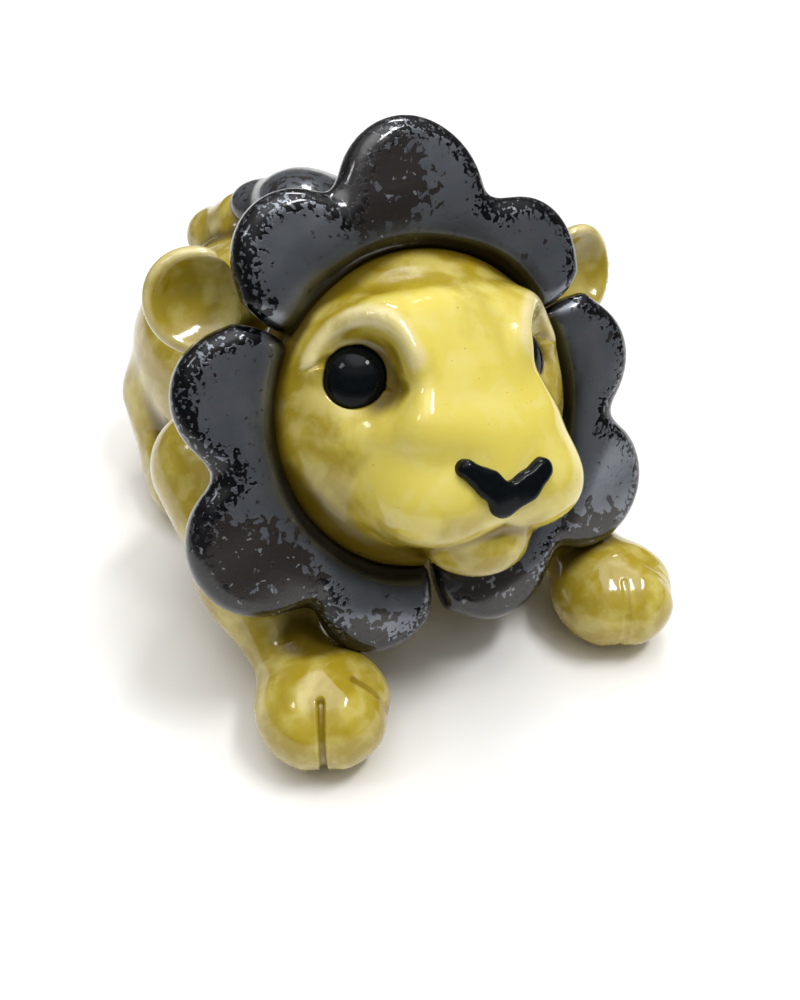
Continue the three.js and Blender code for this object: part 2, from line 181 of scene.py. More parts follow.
# %% [markdown]
# Clay forms are easy to describe as fields: a function that is negative inside the clay, zero on its
# surface and positive outside. A lump is an ellipsoid, a limb a tapering rod with round ends, and two
# forms are joined with a fillet by blending their fields. Every size below is in millimetres. The big
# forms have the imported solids' sizes and places, and the finer ones are added to them.

# %% Fields of clay
def lump(p, centre, radii):
    """An ellipsoid, as a field that is close to the true distance near its surface."""
    q = (p - np.array(centre)) / np.array(radii)
    reach = np.linalg.norm(q, axis=1)
    slope = np.linalg.norm(q / np.array(radii), axis=1)
    return reach * (reach - 1) / np.maximum(slope, 1e-6)


def limb(p, start, start_radius, end, end_radius):
    """A rod with round ends that tapers from one radius to the other."""
    axis = np.subtract(end, start)
    offset = p - np.array(start)
    along = np.clip(offset @ axis / (axis @ axis), 0, 1)
    radius = start_radius + (end_radius - start_radius) * along
    return np.linalg.norm(offset - along[:, None] * axis, axis=1) - radius


def blend(a, b, softness):
    """Joins two forms with a fillet about as wide as softness."""
    overlap = np.maximum(softness - np.abs(a - b), 0) / softness
    return np.minimum(a, b) - overlap * overlap * softness / 4


def carve(a, cutter, softness):
    """Takes the cutter's form out of another, with a rounded edge."""
    return -blend(-a, cutter, softness)


def mirrored(p):
    """Makes x positive, so that one side of a pair stands for both."""
    return np.column_stack([np.abs(p[:, 0]), p[:, 1], p[:, 2]])


def smooth_step(low, high, value):
    t = np.clip((value - low) / (high - low), 0, 1)
    return t * t * (3 - 2 * t)


def roll(p, path, softness):
    """A roll of clay along a path of places, each with its radius."""
    clay = limb(p, *path[0], *path[1])
    for start, end in zip(path[1:], path[2:]):
        clay = blend(clay, limb(p, *start, *end), softness)
    return clay


def groove(distance, half_width, depth):
    """How far a drawn line with rounded edges takes the surface in."""
    return depth * smooth_step(half_width, 0.3 * half_width, distance)


near_ball = lump(np.array([[5.0, 0, 0]]), (0, 0, 0), (3, 3, 3))[0]
print("a place 5 mm from the middle of a 3 mm ball has the value", round(float(near_ball), 2))

# %% [markdown]
# The head has a frame of its own: x to the lion's left, y to the crown and z out of the face. It looks
# up and is cocked to one side, so one turn and one shift take a point from the figure's frame to the
# head's.

# %% The head's frame
HEAD_PLACE = np.array([-1.35, -38.8, 50])
HEAD_Y = HEAD_PLACE[1]
FIGURE_SHIFT = np.array([HEAD_PLACE[0], 0, 0])
LOOK_UP = math.radians(22.5)
COCK = math.radians(7.5)
HEAD_TURN = Matrix.Rotation(math.pi / 2 - LOOK_UP, 3, "X") @ Matrix.Rotation(-COCK, 3, "Z")
HEAD_AXES = np.array(HEAD_TURN)


def to_head(p):
    return (p - HEAD_PLACE) @ HEAD_AXES


def from_head(q):
    return q @ HEAD_AXES.T + HEAD_PLACE


print("the face looks along", HEAD_AXES[:, 2].round(2))

# %% [markdown]
# Each leg is a roll of clay with a lump for its paw, and the hind legs have a haunch as well. A tool
# has drawn two lines over the front of each front paw for the toes. A groove is only a small change of
# the field's value near a line, so it needs no form of its own.

# %% Legs and paws
STANCE_SHIFT = np.array([1.2, 0, 0])
FORELEG = [((31.5, HEAD_Y + 29, 30), 12.2), ((31.8, HEAD_Y + 9, 18.5), 9.8), ((31.4, HEAD_Y - 10, 9), 6.8)]
PAW = (np.array([31, HEAD_Y - 18.4, 9.1]), np.array([11.9, 12.2, 9.7]))
PAW_BACK = HEAD_Y - 15
PAW_TOP = 22
HAUNCH = ((22, HEAD_Y + 71, 28), (11.5, 19, 19))
SHANK = [((27, HEAD_Y + 76, 20), 10), ((28.5, HEAD_Y + 66, 9), 8.5)]
HIND_PAW = ((29, HEAD_Y + 57, 8), (9.5, 13.5, 9))
# For each line: the paw's side, the heading in degrees, and the groove's half width and depth. A start is
# how far from the paw's middle a line begins, as a share of the paw's radius.
TOE_LINES = [(-1, -25, 0.9, 0.9), (-1, 54, 1.3, 0.5), (1, -25, 0.9, 0.25), (1, 54, 1.2, 0.2)]
TOE_LINE_START = 0.48
TOE_VALLEY = (4.2, 0.55)
TOE_VALLEY_START = 0.36


def foreleg(p):
    q = mirrored(p - STANCE_SHIFT)
    return blend(roll(q, FORELEG, 6), lump(q, *PAW), 4)


def hind_leg(p):
    q = mirrored(p)
    return blend(blend(lump(q, *HAUNCH), roll(q, SHANK, 5), 5), lump(q, *HIND_PAW), 4)


def toe_line(p, side, turn, start):
    """Distance from a line over one front paw, drawn from near its top down to the sheet."""
    offset = (p - STANCE_SHIFT - PAW[0] * (side, 1, 1)) / PAW[1]
    heading = math.radians(turn)
    ahead = math.sin(heading) * offset[:, 0] - math.cos(heading) * offset[:, 1]
    across = math.cos(heading) * offset[:, 0] + math.sin(heading) * offset[:, 1]
    behind = np.maximum(start - ahead, 0)
    return np.hypot(across, behind) * PAW[1][0]


def nearest_toe_line(p, start):
    return np.min([toe_line(p, side, turn, start) for side, turn, _, _ in TOE_LINES], axis=0)


deepest = max(depth for _, _, _, depth in TOE_LINES)
print("the front paws have", len(TOE_LINES), "toe lines, the deepest", deepest, "mm")

# %% [markdown]
# The trunk is a few big lumps: torso, chest, neck and skull. The legs are pressed on, and a bent roll
# makes the tail's stem. The wide fillets are those of wet clay that a thumb has smoothed.

# %% Trunk and tail
TORSO = ((0, HEAD_Y + 60, 32), (29.4, 41.5, 24.5))
CHEST = ((0, HEAD_Y + 28, 34), (29.5, 26, 25.5))
NECK = ((0, HEAD_Y + 16, 42), (25, 20, 25))
TAIL = [((0, HEAD_Y + 90, 38), 8), ((-3, HEAD_Y + 101, 44.5), 6.2), ((0, HEAD_Y + 89, 53), 5.8)]
SKULL = ((0, 1, -15.5), (29, 29, 15))
EAR_MOUND = [((20, 13, -17), 8), ((33, 20, -11.5), 4.5)]


def skull(q):
    return blend(lump(q, *SKULL), roll(mirrored(q), EAR_MOUND, 4), 8)


def trunk(p):
    f = p - FIGURE_SHIFT
    clay = blend(lump(f, *TORSO), lump(f, *CHEST), 10)
    clay = blend(clay, lump(f, *NECK), 8)
    clay = blend(clay, skull(to_head(p)), 7)
    clay = blend(clay, hind_leg(f), 7)
    clay = blend(clay, foreleg(f), 6)
    in_paw = (f[:, 1] < PAW_BACK) & (f[:, 2] < PAW_TOP)
    paw = f[in_paw]
    for side, turn, half_width, depth in TOE_LINES:
        clay[in_paw] += groove(toe_line(paw, side, turn, TOE_LINE_START), half_width, depth)
    clay[in_paw] += groove(nearest_toe_line(paw, TOE_VALLEY_START), *TOE_VALLEY)
    return blend(clay, roll(f, TAIL, 4), 5)


print("the torso's middle lies", round(-float(trunk(np.array([TORSO[0]]))[0]), 1), "mm inside the clay")

# %% [markdown]
# Each eye has a frame of its own as well, so that its bead, its lid and the creases at its corners can
# be given once for both sides. A thick lid of clay arches over the eye, and below the eye it fades out.

# %% Eyes and lids
EYE_PLACE = np.array([15.4, 8.1, 7])
EYE_AXIS = np.array([0.45, 0.24, 0.86]) / np.linalg.norm([0.45, 0.24, 0.86])
EYE_UP = np.array([-0.15, 1, 0])
EYE_RADII = (5.6, 5.6, 3.9)
EYE_SINK = -0.1
LEFT_EYE_SINK = 1.1
EYE_DISH = (0, 0, 12.2)
LEFT_EYE_DISH = (-2.6, 0, 12.2)
EYE_DISH_RADIUS = 11
# For each crease: its start and end, the end's radius, which is below zero so that the line thins out,
# and the groove's half width and depth.
EYE_CREASES = [
    ((-4.2, 2.2, 0), (-8.4, -0.2, 0), -0.8, 1.1, 0.65),
    ((4, -1.1, 0), (5.9, -2, 0), -0.7, 0.9, 0.5),
]
CREASE_BACK = -4
SOCKET_GAP = 0.08
SOCKET_FLOOR = 0.8
LID_HEIGHT = 1.5
LID_MIDDLE = (1.2, 0.2)
LID_RADIUS = 8
LID_INNER_WIDTH = 1.9
LID_OUTER_WIDTH = 3
LID_TILT = 0.1
LID_FADE = 0.35


def eye_sink(q):
    """How deep the eye on this side of the face was pressed in."""
    return np.where(q[:, 0] > 0, LEFT_EYE_SINK, EYE_SINK)


def eye_frame(q):
    """The eye's own frame: x to the inner corner, y up and z along the gaze."""
    up = EYE_UP - EYE_AXIS * (EYE_UP @ EYE_AXIS)
    up /= np.linalg.norm(up)
    inward = np.cross(EYE_AXIS, up)
    return (mirrored(q) - EYE_PLACE) @ np.column_stack([inward, up, EYE_AXIS])


def bead(q):
    """The bead of an eye, pressed a little flat."""
    return lump(eye_frame(q) + eye_sink(q)[:, None] * (0, 0, 1), (0, 0, 0), EYE_RADII)


def eyelid(e):
    """How far the lid stands out over the eye, strongest above it and gone below."""
    reach = np.maximum(np.hypot(e[:, 0], e[:, 1]), 1e-6)
    share = smooth_step(-LID_FADE, LID_FADE, (e[:, 1] - LID_TILT * e[:, 0]) / reach)
    crest = np.hypot(e[:, 0] - LID_MIDDLE[0], e[:, 1] - LID_MIDDLE[1]) - LID_RADIUS
    width = np.where(crest < 0, LID_INNER_WIDTH, LID_OUTER_WIDTH)
    return LID_HEIGHT * share * np.exp(-(crest / width) ** 2)


print("each eye has", len(EYE_CREASES), "drawn creases and a lid", LID_HEIGHT, "mm high")

# %% [markdown]
# The face starts as a dome. A broad flat bridge runs from a ledge on the forehead to the nose. It faces
# a little to the lion's left, and the muzzle with its two pads and the small chin are set to that side
# as well, as hands leave a face. A dish is pressed in for each eye before its lid is laid on.

# %% Face
DOME = ((0, 0, -6), (28.6, 28.6, 22))
MUZZLE_SHIFT = np.array([1.8, 0, 0])
MUZZLE = ((0, -9.4, 11.5), (15.6, 9.2, 13.4))
PAD = ((9, -11.4, 13.8), (9, 7.1, 10))
CHIN = ((0.4, -20.4, 11.4), (8.8, 6, 9.2))
BRIDGE_PLACE = np.array([0.9, 11, 17])
BRIDGE_SLOPE = math.radians(28)
BRIDGE_TURN = 0.12
BRIDGE_HALF_WIDTH = 15.4
BRIDGE_TAPER = 0.06
BRIDGE_EDGE = 4.6
BRIDGE_CROWN = 0.006
BRIDGE_MIDDLE = 1.6
BRIDGE_HALF_LENGTH = 12


def nose_bridge(q):
    """A bar with rounded edges that runs down the face and narrows towards the nose."""
    x, y, z = (q - BRIDGE_PLACE).T
    along = z * math.sin(BRIDGE_SLOPE) - y * math.cos(BRIDGE_SLOPE)
    above = z * math.cos(BRIDGE_SLOPE) + y * math.sin(BRIDGE_SLOPE) + BRIDGE_TURN * x
    side = np.abs(x) - (BRIDGE_HALF_WIDTH - BRIDGE_TAPER * along - BRIDGE_EDGE)
    top = above + BRIDGE_CROWN * x ** 2 + BRIDGE_EDGE
    corner = np.hypot(np.maximum(side, 0), np.maximum(top, 0))
    bar = corner + np.minimum(np.maximum(side, top), 0) - BRIDGE_EDGE
    return carve(bar, BRIDGE_HALF_LENGTH - np.abs(along - BRIDGE_MIDDLE), 5)


def face(q):
    m = mirrored(q - MUZZLE_SHIFT)
    clay = blend(lump(q, *DOME), nose_bridge(q), 7)
    clay = blend(clay, lump(m, *MUZZLE), 8)
    clay = blend(clay, lump(m, *PAD), 5)
    clay = blend(clay, lump(q - MUZZLE_SHIFT, *CHIN), 2.6)
    e = eye_frame(q)
    dish = np.where(q[:, :1] > 0, LEFT_EYE_DISH, EYE_DISH)
    clay = carve(clay, np.linalg.norm(e - dish, axis=1) - EYE_DISH_RADIUS, 3)
    clay -= eyelid(e)
    flat = e * (1, 1, 0)
    ahead = e[:, 2] > CREASE_BACK
    for start, end, end_radius, half_width, depth in EYE_CREASES:
        clay += ahead * groove(limb(flat, start, 0, end, end_radius), half_width, depth)
    hole = np.maximum(bead(q) - SOCKET_GAP, SOCKET_FLOOR - eye_sink(q) + EYE_SINK - e[:, 2])
    return carve(clay, hole, 0.5)


muzzle_front = MUZZLE[0][2] + MUZZLE[1][2]
print("the muzzle reaches", muzzle_front, "mm out of the head's middle")

# %% [markdown]
# The ears are round dishes, pinched up from the clay behind the mane. They are deepest on the side of
# the head and rise to a soft rim on the outside.

# %% Ears and the whole body
EAR_TURN = math.radians(28)
EAR_AXES = np.array(Matrix.Rotation(EAR_TURN, 3, "Y"))
RIGHT_EAR_PLACE = np.array([36.2, 21.3, -7])
LEFT_EAR_PLACE = np.array([38.2, 21.3, -7])
EAR_RIM_REACH = 6.2
EAR_RIM_RADIUS = 2.1
EAR_BACK = ((0, 0, -2), (8, 8, 4.2))
EAR_DISH = ((-3.5, -0.4, 3.9), (9.5, 7.5, 7.4))
FACE_BACK = -14
FACE_SIDE = 34
EAR_SPACE_BACK = -24
EAR_SPACE_SIDE = 24
EAR_SPACE_LOW = 5
FOOT_EDGE = 0.8


def ear_frame(q):
    place = np.where(q[:, :1] < 0, RIGHT_EAR_PLACE, LEFT_EAR_PLACE)
    return (mirrored(q) - place) @ EAR_AXES


def ear(offset):
    """A disc with a round edge, and more clay behind it."""
    reach = np.hypot(offset[:, 0], offset[:, 1])
    rim = np.hypot(np.maximum(reach - EAR_RIM_REACH, 0), offset[:, 2]) - EAR_RIM_RADIUS
    return blend(rim, lump(offset, *EAR_BACK), 2)


def lion_clay(p):
    """The whole body, flat under the feet. Face and ears are worked out only near them, to save time."""
    clay = trunk(p)
    q = to_head(p)
    in_face = (q[:, 2] > FACE_BACK) & (np.abs(q[:, 0]) < FACE_SIDE)
    clay[in_face] = blend(clay[in_face], face(q[in_face]), 2)
    in_ear = (q[:, 2] > EAR_SPACE_BACK) & (np.abs(q[:, 0]) > EAR_SPACE_SIDE) & (q[:, 1] > EAR_SPACE_LOW)
    offset = ear_frame(q[in_ear])
    clay[in_ear] = carve(blend(clay[in_ear], ear(offset), 2.5), lump(offset, *EAR_DISH), 2.4)
    return carve(clay, p[:, 2], FOOT_EDGE)


print("the ears stand", RIGHT_EAR_PLACE[0], "and", LEFT_EAR_PLACE[0], "mm from the middle of the head")

# %% [markdown]
# A mesh with clean even faces is needed to carry those forms. Each lump is first a scaled ball and each
# limb two balls and a cone. A voxel remesh presses all of them into one skin. A remesh was chosen
# because a boolean union would leave thin faces along every join.

# %% Press lumps into one skin
def press_together(bm, name, voxel):
    """One closed skin round everything in the bmesh, with square faces about one voxel wide."""
    loose = bpy.data.meshes.new(name + "_lumps")
    bm.to_mesh(loose)
    bm.free()
    lumps = bpy.data.objects.new(name + "_lumps", loose)
    bpy.context.scene.collection.objects.link(lumps)
    remesh = lumps.modifiers.new("skin", "REMESH")
    remesh.mode = "VOXEL"
    remesh.voxel_size = voxel * MM
    pressed = lumps.evaluated_get(bpy.context.evaluated_depsgraph_get())
    mesh = bpy.data.meshes.new_from_object(pressed)
    mesh.name = name
    bpy.data.objects.remove(lumps)
    bpy.data.meshes.remove(loose)
    print(name, "pressed into", len(mesh.polygons), "faces")
    return mesh


# %% [markdown]
# Then every vertex slides along the field's slope until it lies on the blended surface, as a thumb
# smooths the joins. Sliding and relaxing take turns, so the faces stay even. Where finer detail is
# wanted, the faces are split first.

# %% Slide a skin onto its form
SLOPE_STEP = 0.03


def slide_onto(field, p, rounds, longest=1.2):
    """Moves points along the field's slope onto its surface, at most this far in a round."""
    for _ in range(rounds):
        value = field(p)
        slope = np.empty_like(p)
        for axis in range(3):
            ahead = p.copy()
            ahead[:, axis] += SLOPE_STEP
            slope[:, axis] = (field(ahead) - value) / SLOPE_STEP
        move = -value[:, None] * slope / np.maximum((slope ** 2).sum(1), 0.2)[:, None]
        length = np.linalg.norm(move, axis=1)
        p = p + move * np.minimum(1, longest / np.maximum(length, 1e-9))[:, None]
    return p


def mesh_points(mesh):
    co = np.empty(len(mesh.vertices) * 3)
    mesh.vertices.foreach_get("co", co)
    return co.reshape(-1, 3) / MM


def set_points(mesh, p):
    mesh.vertices.foreach_set("co", (p * MM).ravel())
    mesh.update()


def mesh_edges(mesh):
    pairs = np.empty(len(mesh.edges) * 2, dtype=np.int64)
    mesh.edges.foreach_get("vertices", pairs)
    return pairs.reshape(-1, 2)


def relax(p, pairs, share=0.5):
    """Moves each point part of the way to the mean of its neighbours."""
    count = np.bincount(pairs.ravel(), minlength=len(p))
    mean = np.empty_like(p)
    for axis in range(3):
        both = np.bincount(pairs[:, 0], p[pairs[:, 1], axis], len(p))
        both += np.bincount(pairs[:, 1], p[pairs[:, 0], axis], len(p))
        mean[:, axis] = both / np.maximum(count, 1)
    return p + share * (mean - p)


def fit_skin(mesh, field, turns):
    pairs = mesh_edges(mesh)
    p = slide_onto(field, mesh_points(mesh), 3)
    for _ in range(turns):
        p = slide_onto(field, relax(p, pairs), 1)
    set_points(mesh, slide_onto(field, p, 1))
    print(mesh.name, "mean distance from its form", round(float(np.abs(field(p)).mean()), 4), "mm")


def split_faces(mesh, wanted):
    """Splits every face in two both ways where all its points are wanted."""
    keep = wanted(mesh_points(mesh))
    bm = bmesh.new()
    bm.from_mesh(mesh)
    bm.verts.ensure_lookup_table()
    edges = set()
    for f in bm.faces:
        if all(keep[v.index] for v in f.verts):
            edges.update(f.edges)
    bmesh.ops.subdivide_edges(bm, edges=list(edges), cuts=1, use_grid_fill=True)
    bm.to_mesh(mesh)
    bm.free()


def trial_ball(p):
    return lump(p, (0, 0, 0), (3, 3, 3))


slid = slide_onto(trial_ball, np.array([[5.0, 0, 0]]), 3)
print("a point 5 mm from the middle of a 3 mm ball slides to", slid[0].round(2))

# %% [markdown]
# A glaze follows the surface: it is thin on bulges and deep in hollows. So how much a surface bends is
# measured from the field and stored with the mesh, where a material can read it. The last helper makes
# a skin a finished piece that rides on the figure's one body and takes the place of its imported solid.

# %% Measure bends and make pieces
def store(mesh, name, values):
    mesh.attributes.new(name, "FLOAT", "POINT").data.foreach_set("value", values.astype(np.float32))


def bend_of(field, p, reach):
    """How much the surface bulges (positive) or is hollow (negative), felt at a given reach."""
    total = np.zeros(len(p))
    for axis in range(3):
        shift = np.zeros(3)
        shift[axis] = reach
        total += field(p + shift) + field(p - shift)
    return (total / 6 - field(p)) / reach


def make_piece(name, mesh, node):
    mesh.polygons.foreach_set("use_smooth", np.ones(len(mesh.polygons), dtype=bool))
    piece = bpy.data.objects.new(name, mesh)
    bpy.context.scene.collection.objects.link(piece)
    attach(piece, "root")
    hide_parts(node)
    print(name, len(mesh.polygons), "faces")
    return piece


ball_bend = bend_of(trial_ball, np.array([[3.0, 0, 0]]), 1.0)[0]
print("a 3 mm ball, felt at 1 mm, bulges by", round(float(ball_bend), 2))

# %% [markdown]
# The lumps themselves are balls and cones from bmesh operators. Legs, ears and muzzle pads come in
# pairs, so each is built once for the lion's left and put in twice, the second time as its mirror image
# with its faces turned back.

# %% Balls, rolls and pairs
def add_ball(bm, centre, radii, turn=Matrix()):
    size = Matrix.Diagonal((*(Vector(radii) * MM), 1))
    place = Matrix.Translation(Vector(centre) * MM) @ turn @ size
    bmesh.ops.create_icosphere(bm, subdivisions=4, radius=1, matrix=place)


def add_roll(bm, path):
    for centre, radius in path:
        add_ball(bm, centre, (radius,) * 3)
    for (start, start_radius), (end, end_radius) in zip(path, path[1:]):
        along = Vector(end) - Vector(start)
        middle = Matrix.Translation((Vector(start) + Vector(end)) / 2 * MM)
        place = middle @ along.to_track_quat("Z", "Y").to_matrix().to_4x4()
        bmesh.ops.create_cone(bm, cap_ends=True, segments=32, radius1=start_radius * MM,
                              radius2=end_radius * MM, depth=along.length * MM, matrix=place)


def put_in(bm, part, place):
    """Moves a part to its place and adds it to the bmesh, with its faces kept outward."""
    bmesh.ops.transform(part, matrix=place, verts=part.verts)
    if place.is_negative:
        bmesh.ops.reverse_faces(part, faces=part.faces)
    carrier = bpy.data.meshes.new("carrier")
    part.to_mesh(carrier)
    part.free()
    bm.from_mesh(carrier)
    bpy.data.meshes.remove(carrier)


def put_pair(bm, build, shift=(0, 0, 0)):
    """Adds a form on the lion's left, and its mirror image on the right."""
    place = Matrix.Translation(Vector(shift) * MM)
    put_in(bm, build(), place)
    put_in(bm, build(), place @ Matrix.Scale(-1, 4, (1, 0, 0)))


trial_tail = bmesh.new()
add_roll(trial_tail, TAIL)
print("the tail's roll starts with", len(trial_tail.faces), "faces")
trial_tail.free()

# %% [markdown]
# With those helpers the body is put together as its maker does it: first the trunk with its legs and
# tail, then the head with the bridge, the muzzle and the ears, turned and set on the neck.

# %% Lumps of the body
EAR_LUMP = ((37.2, 21.3, -7.6), (9, 8.2, 4))
BRIDGE_LUMP = (BRIDGE_PLACE - (0, 4, 7), (13, 17, 11))
HEAD_MATRIX = Matrix.Translation(Vector(HEAD_PLACE) * MM) @ HEAD_TURN.to_4x4()
BODY_VOXEL = 1.03


def foreleg_lumps():
    bm = bmesh.new()
    add_roll(bm, FORELEG)
    add_ball(bm, *PAW)
    return bm


def hind_leg_lumps():
    bm = bmesh.new()
    add_ball(bm, *HAUNCH)
    add_roll(bm, SHANK)
    add_ball(bm, *HIND_PAW)
    return bm


def ear_lumps():
    bm = bmesh.new()
    add_roll(bm, EAR_MOUND)
    add_ball(bm, *EAR_LUMP, Matrix.Rotation(EAR_TURN, 4, "Y"))
    return bm


def pad_lump():
    bm = bmesh.new()
    add_ball(bm, *PAD)
    return bm


def head_lumps():
    bm = bmesh.new()
    for form in (SKULL, DOME, BRIDGE_LUMP):
        add_ball(bm, *form)
    for centre, radii in (MUZZLE, CHIN):
        add_ball(bm, np.add(centre, MUZZLE_SHIFT), radii)
    put_pair(bm, pad_lump, MUZZLE_SHIFT)
    put_pair(bm, ear_lumps)
    return bm


def body_lumps():
    bm = bmesh.new()
    for form in (TORSO, CHEST, NECK):
        add_ball(bm, *form)
    add_roll(bm, TAIL)
    put_pair(bm, hind_leg_lumps)
    put_pair(bm, foreleg_lumps, STANCE_SHIFT)
    bmesh.ops.translate(bm, vec=Vector(FIGURE_SHIFT) * MM, verts=bm.verts)
    put_in(bm, head_lumps(), HEAD_MATRIX)
    return bm


body_mesh = press_together(body_lumps(), "lion_skin", BODY_VOXEL)

# %% [markdown]
# The body's skin is pressed with faces about 1 mm wide, which is enough for the trunk. The face and the
# toes are split once, and the eyes' lids and the drawn lines once more, so the fine faces are only
# where they are needed.

# %% Finer faces where the body needs them
FACE_FRONT = -3
FACE_RADIUS = 30
TOE_ZONE = 3.5
TOE_ZONE_BACK = PAW_BACK + 1
TOE_DETAIL = 1.9
EYE_DETAIL_RADIUS = 11
EYE_DETAIL_DEPTH = 9


def near_face(p):
    q = to_head(p)
    return (q[:, 2] > FACE_FRONT) & (np.hypot(q[:, 0], q[:, 1]) < FACE_RADIUS)


def near_toes(p, distance):
    f = p - FIGURE_SHIFT
    in_paw = (f[:, 1] < TOE_ZONE_BACK) & (f[:, 2] < PAW_TOP)
    return (nearest_toe_line(f, TOE_LINE_START) < distance) & in_paw


def near_detail(p):
    e = eye_frame(to_head(p))
    eyes = (np.hypot(e[:, 0], e[:, 1]) < EYE_DETAIL_RADIUS) & (np.abs(e[:, 2]) < EYE_DETAIL_DEPTH)
    return eyes | near_toes(p, TOE_DETAIL)


fit_skin(body_mesh, lion_clay, 3)
split_faces(body_mesh, lambda p: near_face(p) | near_toes(p, TOE_ZONE))
fit_skin(body_mesh, lion_clay, 2)
split_faces(body_mesh, near_detail)
fit_skin(body_mesh, lion_clay, 3)

# %% [markdown]
# Three measures go with the body's skin. The wide bend tells where glaze pools, and the fine bend where
# it runs off an edge. The eyes' creases and the toes' lines would be outlined in cream by the fine
# bend, so it is faded there, and the lids get a little more of it. The third is the front of the face,
# where the glaze is thinnest; it is also painted light where the lamps fall on the face, and it fades
# out towards the chin as painted shade under the muzzle.

# %% Body
WIDE_REACH = 4.0
FINE_REACH = 1.2
TOE_EDGE_SHARE = 0.4
LID_EDGE = 0.17
LID_BACK = -2
CREASE_FADE = (6, 10)
FRONT_DEPTH = (6, 16)
FRONT_RADIUS = (30, 26)
FRONT_HEIGHT = (-27, -7)


def store_bends(mesh):
    p = mesh_points(mesh)
    q = to_head(p)
    e = eye_frame(q)
    store(mesh, "wide_bend", bend_of(lion_clay, p, WIDE_REACH))
    fine = bend_of(lion_clay, p, FINE_REACH) * smooth_step(*CREASE_FADE, np.hypot(e[:, 0], e[:, 1]))
    fine = np.where(near_toes(p, TOE_ZONE), np.minimum(fine, TOE_EDGE_SHARE * fine), fine)
    lid = np.where(e[:, 2] > LID_BACK, eyelid(e) / LID_HEIGHT, 0)
    store(mesh, "fine_bend", fine + LID_EDGE * lid ** 2)
    # The front share: thin glaze and painted light on the face, faded towards the chin as painted shade.
    front = smooth_step(*FRONT_DEPTH, q[:, 2]) * smooth_step(*FRONT_RADIUS, np.hypot(q[:, 0], q[:, 1]))
    store(mesh, "front", front * smooth_step(*FRONT_HEIGHT, q[:, 1]))


store_bends(body_mesh)
body = make_piece("body_skin", body_mesh, "lion_body")

# %% [markdown]
# The mane is three slabs, rolled flat, cut to three round lobes each and bent into a ring. Their faces
# are slightly dished, they lean back outward, and near the face they dip like a cove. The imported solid
# of a slab is already the right shape with flat facets, so a merged copy of it is remeshed and slid
# onto the slab's field.

# %% The form of a mane slab
SLAB_INNER_RADIUS = 27
SLAB_BAND_RADIUS = 35
SLAB_DISH_RADIUS = 37
SLAB_DISH = 3
SLAB_CREST = 1.8
SLAB_LEAN = 0.12
SLAB_THICKNESS = 6.6
SLAB_EDGE_RADIUS = 3
SLAB_END_INSET = 0.12
SLAB_EDGE_WOBBLE = (23, 0.25)
SLAB_FACE_WOBBLE = (17, 0.22)
# For each slab: where it starts and ends, in degrees from the crown towards the lion's left, and then
# each lobe's direction, reach and radius.
MANE = {
    "mane_top": (-59.6, 57.8, [(-38.5, 44.4, 11.2), (-1, 47.8, 13), (39, 41.8, 10.5)]),
    "mane_right": (-177.6, -58.2, [(-158.5, 43.4, 11.2), (-119.5, 48.3, 13), (-79.5, 44, 11.5)]),
    "mane_left": (56.4, 183.6, [(79.5, 41.8, 11.2), (118.5, 49.6, 12.8), (157.5, 42.6, 11.4)]),
}


def hand_wobble(p, length, amount):
    """The slow unevenness that hands leave: waves of about this length, crossing in three directions."""
    k = 2 * math.pi / length
    waves = np.sin(k * (p @ (0.9, 0.35, 0.25)) + 0.7)
    waves += np.sin(k * 1.3 * (p @ (-0.4, 0.85, 0.3)) + 2.1)
    waves += np.sin(k * 0.8 * (p @ (0.2, -0.45, 0.9)) + 4.0)
    return amount * waves / 3


def slab_outline(shape, q):
    """Distance from the slab's cut outline, seen along the head's z."""
    start, end, lobes = shape
    middle = math.radians((start + end) / 2)
    half_span = math.radians((end - start) / 2)
    x = math.cos(middle) * q[:, 0] - math.sin(middle) * q[:, 1]
    y = math.sin(middle) * q[:, 0] + math.cos(middle) * q[:, 1]
    reach = np.hypot(x, y)
    past = np.abs(np.arctan2(x, y)) - half_span
    outline = np.maximum(reach - SLAB_BAND_RADIUS, (past + SLAB_END_INSET) * reach)
    for angle, tip, radius in lobes:
        turn = math.radians(angle) - middle
        lobe = np.hypot(x - (tip - radius) * math.sin(turn), y - (tip - radius) * math.cos(turn)) - radius
        outline = blend(outline, lobe, 5)
    outline = carve(outline, reach - SLAB_INNER_RADIUS, 2)
    return carve(outline, -past * reach, 2) + hand_wobble(q, *SLAB_EDGE_WOBBLE)


def rounded_plate(side, top, edge):
    """A plate from the distance past its outline and past its face, with a rounded edge."""
    side = side + edge
    top = top + edge
    corner = np.hypot(np.maximum(side, 0), np.maximum(top, 0))
    return corner + np.minimum(np.maximum(side, top), 0) - edge


def slab_field(shape, q):
    reach = np.hypot(q[:, 0], q[:, 1])
    dip = np.maximum(0, SLAB_DISH_RADIUS - reach) / (SLAB_DISH_RADIUS - SLAB_INNER_RADIUS)
    middle = SLAB_CREST - SLAB_LEAN * (reach - SLAB_INNER_RADIUS) - SLAB_DISH * dip * dip
    level = np.abs(q[:, 2] - middle + hand_wobble(q, *SLAB_FACE_WOBBLE))
    return rounded_plate(slab_outline(shape, q), level - SLAB_THICKNESS / 2, SLAB_EDGE_RADIUS)


for node, (start, end, lobes) in MANE.items():
    print(node, "spans", round(end - start), "degrees with", len(lobes), "lobes")

# %% [markdown]
# In the kiln the metallic film burnt away from parts of the mane, and along every edge it broke into
# pits. Where that is, is stored with each slab: round patches seen from the front, and a band along the
# outline. The patches low under the chin also darken lobes that lie in the head's shadow, as painted
# shade.

# %% Mane slabs
SLAB_VOXEL = 0.6
SHOULDER_BAND = (-5.5, -1.2)
SHOULDER_INNER_RADIUS = 33
BARE_EDGE = 6
